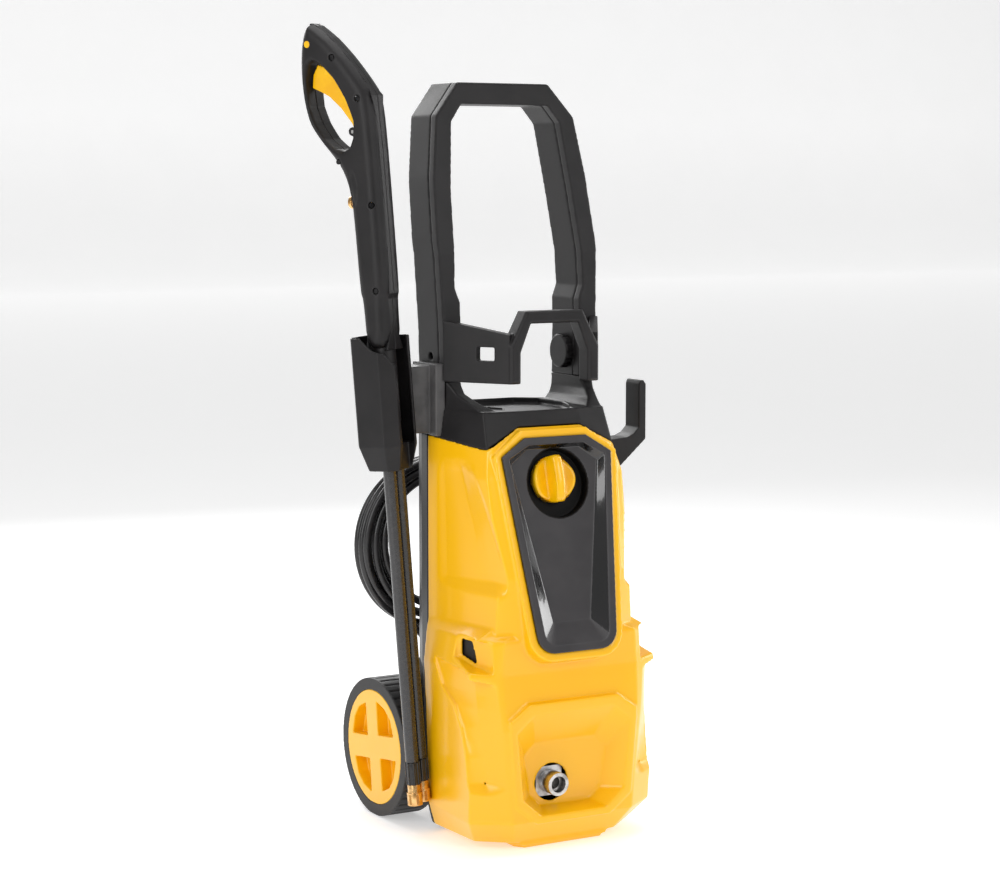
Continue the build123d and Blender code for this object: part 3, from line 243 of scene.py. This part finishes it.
def tyre_plastic():
    """Hard black tyre: dull, with the lug edges painted paler as a highlight and a little smoother."""
    finish = Finish("tyre_plastic", IOR=1.48)
    # Lug edges: their paler colour is a painted highlight; they are also smoother.
    lug_highlight = finish.edges().between(0.50, 0.62)
    dust = finish.noise(75.0, 5.0)
    base = finish.blend(dust.between(0.4, 0.75), (0.009, 0.0085, 0.009, 1), (0.022, 0.020, 0.020, 1))
    finish.colour(finish.blend(lug_highlight * 0.7, base, (0.075, 0.073, 0.072, 1)))
    finish.roughness(0.52 + (dust - 0.5) * 0.2 - lug_highlight * 0.1)
    finish.bump(finish.noise(1500.0, 3.0), 0.0002, 0.5)
    return finish.material


def cord_rubber():
    """Glossy black cord jacket with the faint lay of its cores."""
    finish = Finish("cord_rubber", IOR=1.5)
    lay = finish.noise(55.0, 2.0)
    finish.colour(finish.blend(lay.between(0.3, 0.7), (0.012, 0.0115, 0.012, 1), (0.022, 0.021, 0.022, 1)))
    finish.roughness(0.24 + (lay - 0.5) * 0.12)
    finish.bump(finish.noise(420.0, 2.0), 0.00012, 0.3)
    return finish.material


def lacquered_tube():
    """Black powder-coated steel tube, smooth, with a soft shine along it."""
    finish = Finish("lacquered_tube", IOR=1.5, Coat_Weight=0.4, Coat_Roughness=0.1)
    speck = finish.noise(260.0, 3.0)
    finish.colour(finish.blend(speck.between(0.35, 0.7), (0.016, 0.015, 0.016, 1), (0.026, 0.025, 0.026, 1)))
    finish.roughness(0.27 + (speck - 0.5) * 0.1)
    finish.bump(finish.noise(90.0, 2.0), 0.00004, 0.15)
    return finish.material


def metal(name, dark, light, rough, turning):
    """Turned or drawn metal: fine tool marks along one direction, a random tarnish, and painted shade that darkens
    the hollows.
    """
    finish = Finish(name, Metallic=1.0)
    marks = finish.noise(400.0, 3.0, finish.stretched(turning))
    tarnish = finish.noise(120.0, 4.0)
    body = finish.blend(tarnish.between(0.35, 0.75), light, dark)
    # Painted shade: the hollows are blended towards the dark colour.
    finish.colour(finish.blend(1 - finish.edges().between(0.42, 0.5), body, dark))
    finish.roughness(rough + (marks - 0.5) * 0.2 + (tarnish - 0.5) * 0.1)
    finish.bump(marks, 0.00006, 0.5)
    return finish.material


def painted_bowl_shade():
    """Painted shade for the knob's bowl: a dull, dusty near-black that stands in for its unlit bottom."""
    finish = Finish("painted_bowl_shade", Specular_IOR_Level=0.15)
    dust = finish.noise(80.0, 4.0)
    finish.colour(finish.blend(dust.between(0.45, 0.8), (0.003, 0.003, 0.003, 1), (0.008, 0.0075, 0.0075, 1)))
    finish.roughness(0.5 + (dust - 0.5) * 0.2)
    finish.bump(dust, 0.0001, 0.3)
    return finish.material


YELLOW = yellow_moulding()
BLACK = black_moulding()
GREY = grey_moulding()
GLOSS = gloss_black()
SATIN = satin_panel()
SMALL_YELLOW = yellow_gloss()
TYRE = tyre_plastic()
JACKET = cord_rubber()
TUBE = lacquered_tube()
ZINC = metal("zinc_plate", (0.30, 0.29, 0.28, 1), (0.62, 0.61, 0.60, 1), 0.30, (1.0, 7.0, 1.0))
BRASS = metal("turned_brass", (0.42, 0.22, 0.07, 1), (0.86, 0.55, 0.24, 1), 0.26, (1.0, 1.0, 9.0))
# Painted shade: the dull near-black put in the knob's bowl.
BOWL_SHADE = painted_bowl_shade()
BLACKENED = metal("blackened_steel", (0.012, 0.012, 0.013, 1), (0.045, 0.044, 0.045, 1), 0.42,
                  (1.0, 5.0, 1.0))
CAST = metal("cast_aluminium", (0.34, 0.34, 0.35, 1), (0.60, 0.60, 0.61, 1), 0.42, (2.0, 2.0, 2.0))


# ---------------------------------------------------------------- mesh helpers
def put(name, mesh, body, finish, replaces=()):
    """A new piece on a body, in place of CAD nodes."""
    piece = bpy.data.objects.new(name, mesh)
    bpy.context.scene.collection.objects.link(piece)
    if not mesh.materials:
        mesh.materials.append(finish)
    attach(piece, body)
    if replaces:
        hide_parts(*replaces)
    return piece


def settled(piece):
    """The piece's mesh with its modifiers worked in."""
    graph = bpy.context.evaluated_depsgraph_get()
    mesh = bpy.data.meshes.new_from_object(piece.evaluated_get(graph))
    piece.modifiers.clear()
    old = piece.data
    piece.data = mesh
    bpy.data.meshes.remove(old)
    return mesh


def body_of_node(node):
    return frame["nodes"][node]["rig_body"]


def moulding(name, node, finish, voxel=1.2 * MM, rounds=6, shape=None, keep=1.0):
    """A node's shape with the rounded edges of a real moulding: remeshed, shaped and smoothed."""
    mesh = frame["nodes"][node].data.copy()
    mesh.materials.clear()
    piece = put(name, mesh, body_of_node(node), finish, [node])
    weld = piece.modifiers.new("weld", "WELD")
    weld.merge_threshold = 1e-5
    remesh = piece.modifiers.new("skin", "REMESH")
    remesh.mode = "VOXEL"
    remesh.voxel_size = voxel
    smooth = piece.modifiers.new("soften", "SMOOTH")
    smooth.factor = 0.5
    smooth.iterations = rounds
    if keep < 1:
        thin = piece.modifiers.new("thin", "DECIMATE")
        thin.ratio = keep
    mesh = settled(piece)
    mesh.name = name
    if not mesh.materials:
        mesh.materials.append(finish)
    if shape:
        for vertex in mesh.vertices:
            vertex.co += shape(vertex.co, vertex.normal)
        mesh.update()
    mesh.shade_smooth()
    return piece


def bevelled(node, finish, width=0.6 * MM, segments=2, angle=30):
    """A CAD node kept as it is, with softened edges and a real finish."""
    node_object = frame["nodes"][node]
    node_object.data.materials.clear()
    node_object.data.materials.append(finish)
    weld = node_object.modifiers.new("weld", "WELD")
    weld.merge_threshold = 1e-6
    bevel = node_object.modifiers.new("edges", "BEVEL")
    bevel.width = width
    bevel.segments = segments
    bevel.limit_method = "ANGLE"
    bevel.angle_limit = radians(angle)
    bevel.harden_normals = True
    return node_object


def seam_point(x, y, z):
    """A point in millimetres from the casing's seam, in the shared frame."""
    return Vector((x * MM, y * MM + SOLE_TO_SEAM, z * MM))


def place(origin, x_axis, z_axis):
    """A matrix from local millimetres to the shared frame."""
    z_axis = Vector(z_axis).normalized()
    x_axis = Vector(x_axis).normalized()
    turn = Matrix((x_axis, z_axis.cross(x_axis), z_axis)).transposed().to_4x4()
    return Matrix.Translation(seam_point(*origin)) @ turn @ Matrix.Scale(MM, 4)


CONSOLE_TILT = radians(12.8)
CONSOLE = place((0, -100, 443), (1, 0, 0), (0, -cos(CONSOLE_TILT), sin(CONSOLE_TILT)))
TOOL_AXIS = Vector((sin(radians(-3.9)), sin(radians(1.4)), 1.0)).normalized()
TOOL_SIDE = TOOL_AXIS.cross(Vector((sin(radians(25)), -cos(radians(25)), 0.0)))
TOOL = place((-169, 3, 620), TOOL_SIDE.cross(TOOL_AXIS), TOOL_AXIS)


def ease(share):
    share = min(max(share, 0.0), 1.0)
    return share * share * (3 - 2 * share)


def rounded_line(points, rounds=3, share=0.25):
    """A closed outline with its corners cut again and again until they are round."""
    for _ in range(rounds):
        cut = []
        for p, q in zip(points, points[1:] + points[:1]):
            cut.append((p[0] + (q[0] - p[0]) * share, p[1] + (q[1] - p[1]) * share))
            cut.append((q[0] + (p[0] - q[0]) * share, q[1] + (p[1] - q[1]) * share))
        points = cut
    return points


def gap_to(line, x, z):
    """The distance from a point to a closed outline."""
    nearest = 1e9
    for (px, pz), (qx, qz) in zip(line, line[1:] + line[:1]):
        dx, dz = qx - px, qz - pz
        along = ((x - px) * dx + (z - pz) * dz) / (dx * dx + dz * dz)
        along = min(max(along, 0.0), 1.0)
        nearest = min(nearest, (x - px - along * dx) ** 2 + (z - pz - along * dz) ** 2)
    return sqrt(nearest)


# ---------------------------------------------------------------- camera, light and floor
def camera():
    data = bpy.data.cameras.new("camera")
    data.lens = 86.0
    data.sensor_width = 36.0
    data.clip_start = 0.05
    eye = bpy.data.objects.new("camera", data)
    eye.location = (-1.391, -2.378 + SOLE_TO_SEAM, 0.7486)
    eye.rotation_euler = (radians(90 - 6.08), 0.0, radians(-30.04))
    bpy.context.scene.collection.objects.link(eye)
    bpy.context.scene.camera = eye


def softbox(name, place, target, size, power):
    data = bpy.data.lights.new(name, "AREA")
    data.shape = "RECTANGLE"
    data.size, data.size_y = size
    data.energy = power
    lamp = bpy.data.objects.new(name, data)
    lamp.location = place
    lamp.rotation_euler = (Vector(place) - Vector(target)).to_track_quat("Z", "Y").to_euler()
    bpy.context.scene.collection.objects.link(lamp)


def studio():
    bpy.context.scene.view_settings.view_transform = "Standard"
    world = bpy.data.worlds.new("studio")
    bpy.context.scene.world = world
    world.use_nodes = True
    sky = world.node_tree.nodes["Background"]
    sky.inputs["Color"].default_value = (1.0, 1.0, 1.0, 1)
    sky.inputs["Strength"].default_value = 0.42
    middle = (0.0, 0.05, 0.42)
    softbox("left_softbox", (-1.9, -0.6, 1.2), middle, (0.7, 1.7), 16)
    softbox("front_softbox", (0.5, -2.4, 1.5), middle, (1.3, 1.0), 15)
    softbox("right_softbox", (1.9, -0.3, 1.0), middle, (0.5, 1.7), 14)
    softbox("top_softbox", (0.0, 0.3, 2.4), middle, (1.6, 1.2), 18)
    softbox("back_softbox", (0.3, 2.2, 1.4), middle, (1.6, 1.2), 26)


def floor():
    finish = Finish("pale_floor", Specular_IOR_Level=0.2, Emission_Color=(1, 1, 1, 1), Emission_Strength=0.42)
    grain = finish.noise(3.0, 2.0)
    finish.colour(finish.blend(grain, (0.80, 0.80, 0.80, 1), (0.84, 0.84, 0.84, 1)))
    finish.roughness(0.7 + (grain - 0.5) * 0.1)
    mesh = bpy.data.meshes.new("studio_floor")
    shape = bmesh.new()
    half, rise, bend, steps = 14.0, 9.0, 1.2, 8
    profile = [(-half, 0.0), (half - bend, 0.0)]
    for step in range(1, steps + 1):
        angle = pi / 2 * step / steps
        profile.append((half - bend + bend * sin(angle), bend - bend * cos(angle)))
    profile.append((half, rise))
    rows = [[shape.verts.new((x, y, z)) for y, z in profile] for x in (-half, half)]
    for left, right in zip(zip(rows[0], rows[0][1:]), zip(rows[1], rows[1][1:])):
        shape.faces.new((left[0], right[0], right[1], left[1]))
    shape.to_mesh(mesh)
    shape.free()
    mesh.materials.append(finish.material)
    mesh.shade_smooth()
    ground = bpy.data.objects.new("studio_floor", mesh)
    bpy.context.scene.collection.objects.link(ground)


# ---------------------------------------------------------------- mains cord
CORD_DIAMETER = 9.4 * MM
CORD_ROUTE = [(66, 90, 266), (66, 90, 222), (48, 99, 181), (12, 108, 162), (-28, 121, 172), (-64, 137, 226)]
PLUG_LEAD = [(-19, 140, 399), (1, 140, 396.5), (16, 140, 382), (22.4, 140, 358)]
COIL_CENTRE = (-22, 140, 316)
COIL_RADIUS = 92.0
COIL_TURNS = 7.375
POINTS_PER_TURN = 16
LAYERS = (-10.5, 0.0, 10.5)   # of the coil, along the machine
TIERS = (9.6, 0.0, -9.6)      # of the coil, outwards from COIL_RADIUS
CHANGE_SHARE = 0.2            # the last part of a turn, in which it moves to the next slot
SETTLE_TURNS = 0.3            # how soon the route's end reaches the first slot
SLOTS = [(TIERS[0], LAYERS[0]), (TIERS[0], LAYERS[1]), (TIERS[0], LAYERS[2]), (TIERS[1], LAYERS[2]),
         (TIERS[1], LAYERS[1]), (TIERS[1], LAYERS[0]), (TIERS[2], LAYERS[0]), (TIERS[2], LAYERS[1])]


def coil_points(start):
    """Turns laid side by side at the top, on the hook, that hang apart and change places at the bottom."""
    cx, cy, cz = COIL_CENTRE
    first = atan2(start[2] - cz, start[0] - cx)
    first_radius = Vector((start[0] - cx, start[2] - cz)).length
    points = []
    for index in range(1, int(COIL_TURNS * POINTS_PER_TURN) + 1):
        turn = index / POINTS_PER_TURN
        whole = int(turn)
        angle = first - 2 * pi * turn
        change = ease((turn - whole - 1 + CHANGE_SHARE) / CHANGE_SHARE)
        here, after = SLOTS[whole], SLOTS[min(whole + 1, len(SLOTS) - 1)]
        tier, layer = (p + (q - p) * change for p, q in zip(here, after))
        slack = 0.5 - 0.5 * sin(angle)
        sway = 0.8 * slack * sin(2 * angle + whole)
        settle = ease(turn / SETTLE_TURNS)
        radius = first_radius + (COIL_RADIUS + tier * (1 + 0.5 * slack) + sway - first_radius) * settle
        depth = (start[1] - cy) + (layer * (1 + 0.15 * slack) - (start[1] - cy)) * settle
        points.append((cx + radius * cos(angle), cy + depth, cz + radius * sin(angle)))
    return points


def mains_cord():
    points = [seam_point(*p) for p in CORD_ROUTE + coil_points(CORD_ROUTE[-1]) + PLUG_LEAD]
    curve = bpy.data.curves.new("mains_cord_line", "CURVE")
    curve.dimensions = "3D"
    curve.bevel_depth = CORD_DIAMETER / 2
    curve.bevel_resolution = 5
    curve.resolution_u = 6
    curve.use_fill_caps = True
    spline = curve.splines.new("NURBS")
    spline.points.add(len(points) - 1)
    for target, point in zip(spline.points, points):
        target.co = (*point, 1.0)
    spline.order_u = 3
    spline.use_endpoint_u = True
    curve.materials.append(JACKET)
    piece = bpy.data.objects.new("mains_cord_line", curve)
    bpy.context.scene.collection.objects.link(piece)
    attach(piece, "casing")
    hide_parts("mains_cord", "cord_coil", "plug_lead")
    return piece


# ---------------------------------------------------------------- finishes of the kept CAD nodes
def kept_nodes():
    steel = ["axle", "motor_shaft", "knob_shaft", "axle_spacers", "motor_bearings", "swash_plate", "gun_trigger_pin",
             "gun_spring", "pump_pistons", "water_inlet", "motor_stator", "motor_rotor", "inlet_filter"]
    for node in steel:
        bevelled(node, ZINC, 0.3 * MM)
    for node in ("lance_fitting_front", "lance_fitting_rear", "gun_valve", "pressure_outlet"):
        bevelled(node, BRASS, 0.4 * MM)
    for node in ("pump_head", "motor_end_plates", "capacitor"):
        bevelled(node, CAST, 0.6 * MM)
    bevelled("gun_screws", BLACKENED, 0.2 * MM)
    for node in ("lance_grip_front", "lance_grip_rear", "base_feet", "cord_gland", "mains_plug"):
        bevelled(node, JACKET, 0.5 * MM)
    for node in ("motor_fan", "switch_box", "pump_body", "gun_nose", "vent_insert_left", "vent_insert_right",
                 "cord_hook"):
        bevelled(node, BLACK, 0.8 * MM)


# ---------------------------------------------------------------- console, knob and gun
BOWL_CENTRE = (2, -32)        # on the console's plane
BOWL_RADIUS = 40.5
BOWL_RIM = -6.5
WALL_SLOPE = 0.93             # cosine above which a face counts as level


def console():
    """The dished panel: matte border and floor, glossy walls, and a bowl given a dull near-black as painted shade.
    """
    piece = moulding("console_moulding", "console_panel", SATIN, 0.9 * MM, 3, keep=0.6)
    mesh = piece.data
    mesh.materials.append(GLOSS)
    # A dull near-black for the bowl, as painted shade.
    mesh.materials.append(BOWL_SHADE)
    to_console = CONSOLE.inverted() @ piece.matrix_world
    facing = Vector((0, -cos(CONSOLE_TILT), sin(CONSOLE_TILT)))
    for face in mesh.polygons:
        spot = to_console @ face.center
        from_middle = Vector((spot.x - BOWL_CENTRE[0], spot.y - BOWL_CENTRE[1])).length
        in_bowl = from_middle < BOWL_RADIUS and spot.z < BOWL_RIM
        on_wall = face.normal.dot(facing) < WALL_SLOPE and spot.z < 1.0
        # The bowl gets the near-black of painted shade; the other walls get the gloss.
        if in_bowl:
            face.material_index = 2
        elif on_wall:
            face.material_index = 1


KNOB_RADIUS = 26.5
KNOB_CENTRE = (0, -27)
KNOB_STEPS = 120
KNOB_RINGS = 34


def knob_height(x, y):
    """A rounded bar across a disc, with a thumb hollow on each side."""
    reach = sqrt(x * x + y * y) / KNOB_RADIUS
    bar = 4.5 - 3.5 * (y / KNOB_RADIUS) ** 2 - 0.06 * x * x
    hollow = -13.5 + 7.0 * ((abs(x) - 8) / 18) ** 2
    side = ease((abs(x) - 5.2) / 3.8)
    height = bar * (1 - side) + hollow * side
    return height - 3.0 * max(0.0, (reach - 0.86) / 0.14) ** 2


def knob_ring(shape, radius, height):
    """One ring of vertices round the knob's centre, at the height that the function gives."""
    ring = []
    for index in range(KNOB_STEPS):
        angle = 2 * pi * index / KNOB_STEPS
        x, y = radius * cos(angle), radius * sin(angle)
        ring.append(shape.verts.new((x + KNOB_CENTRE[0], y + KNOB_CENTRE[1], height(x, y))))
    return ring


def knob():
    shape = bmesh.new()
    rings = [knob_ring(shape, KNOB_RADIUS * (step / KNOB_RINGS), knob_height)
             for step in range(1, KNOB_RINGS + 1)]
    for depth, shrink in ((-12.5, 1.0), (-19.5, 1.0), (-20.0, 0.98)):
        rings.append(knob_ring(shape, KNOB_RADIUS * shrink, lambda x, y, depth=depth: depth))
    for inner, outer in zip(rings, rings[1:]):
        for index in range(KNOB_STEPS):
            after = (index + 1) % KNOB_STEPS
            shape.faces.new((inner[index], outer[index], outer[after], inner[after]))
    shape.faces.new(rings[0])
    shape.faces.new(list(reversed(rings[-1])))
    shape.transform(CONSOLE)
    mesh = bpy.data.meshes.new("selector_knob_moulding")
    shape.to_mesh(mesh)
    shape.free()
    mesh.shade_smooth()
    put("selector_knob_moulding", mesh, "selector", SMALL_YELLOW, ["selector_knob"])


GUN_EDGE = 13.0               # how far the gun's sides round over
OPENING_EDGE = 4.0
RECESS_DEPTH = 1.4
GUN_HALF = 19.0
GUN_OUTLINE = [(16, -60), (17, -2), (20, 3), (20, 157), (18, 222), (4, 243), (-16, 268), (-36, 289), (-55, 304),
               (-63, 307.5), (-70, 299), (-76, 281), (-79, 254), (-78, 222), (-72, 195), (-57, 174), (-40, 155),
               (-30, 141), (-23.5, 124), (-20, 99), (-19, 3), (-16, -2), (-15, -60)]
GUN_OPENING = [(-64, 262), (-70, 243), (-69, 215), (-62, 196), (-50, 178), (-35, 166), (-23, 163), (-14, 168),
               (-8, 180), (-7, 196), (-16, 220), (-30, 243), (-46, 259), (-57, 265)]


def rounding(radius, gap):
    """How far a rounded edge falls away at a distance from the outline."""
    if gap >= radius:
        return 0.0
    return radius - sqrt(max(radius * radius - (radius - gap) ** 2, 0.0))


def gun_shape(to_tool, from_tool):
    """Rounds the gun's long edges, softly inside the hand opening, and presses in the oval recess."""
    outline = rounded_line(GUN_OUTLINE, 2)
    opening = rounded_line(GUN_OPENING, 2)

    def shape(point, normal):
        spot = to_tool @ point
        drop = max(rounding(GUN_EDGE, gap_to(outline, spot.x, spot.z)),
                   rounding(OPENING_EDGE, gap_to(opening, spot.x, spot.z)))
        squeeze = (GUN_HALF - drop) / GUN_HALF
        oval = ((spot.x + 12) / 5.5) ** 2 + ((spot.z - 121) / 20) ** 2
        on_side = abs(spot.y) > GUN_HALF - 4
        depth = RECESS_DEPTH * (1 - ease((oval - 0.7) / 0.5)) if on_side else 0.0
        y = spot.y * squeeze - (depth if spot.y > 0 else -depth)
        return from_tool @ Vector((spot.x, y, spot.z)) - point

    return shape


def gun_half(side):
    node = frame["nodes"][f"gun_shell_{side}"]
    to_tool = TOOL.inverted() @ node.matrix_world
    moulding(f"gun_shell_{side}_moulding", f"gun_shell_{side}", BLACK, 1.0 * MM, 4,
             gun_shape(to_tool, to_tool.inverted()), keep=0.6)


camera()
studio()
floor()
mains_cord()
kept_nodes()
console()
knob()
gun_half("left")
gun_half("right")
moulding("front_shell_moulding", "front_shell", YELLOW, 1.5 * MM, 7, keep=0.35)
moulding("rear_cover_moulding", "rear_cover", BLACK, 1.5 * MM, 4, keep=0.35)
moulding("top_collar_moulding", "top_collar", BLACK, 1.2 * MM, 5, keep=0.4)
moulding("handle_front_moulding", "handle_front", BLACK, 1.1 * MM, 14, keep=0.4)
moulding("handle_rear_moulding", "handle_rear", BLACK, 1.1 * MM, 14, keep=0.4)
moulding("carry_bracket_moulding", "carry_bracket", BLACK, 0.9 * MM, 5, keep=0.5)
for place_name in ("front", "rear"):
    moulding(f"lance_tube_{place_name}_moulding", f"lance_tube_{place_name}", TUBE, 0.8 * MM, 4, keep=0.7)
moulding("side_hook_moulding", "side_hook", BLACK, 0.8 * MM, 8)
moulding("lance_holder_moulding", "lance_holder", BLACK, 0.9 * MM, 5, keep=0.5)
moulding("holder_block_moulding", "holder_block", GREY, 0.9 * MM, 5)
for side in ("left", "right"):
    moulding(f"clamp_knob_{side}_moulding", f"clamp_knob_{side}", BLACK, 0.7 * MM, 4)
    moulding(f"tyre_{side}_moulding", f"tyre_{side}", TYRE, 1.0 * MM, 2, keep=0.5)
    moulding(f"wheel_hub_{side}_moulding", f"wheel_hub_{side}", YELLOW, 1.0 * MM, 4, keep=0.5)
moulding("trigger_moulding", "gun_trigger", SMALL_YELLOW, 0.6 * MM, 6)
moulding("lock_button_moulding", "gun_lock_button", SMALL_YELLOW, 0.4 * MM, 5)
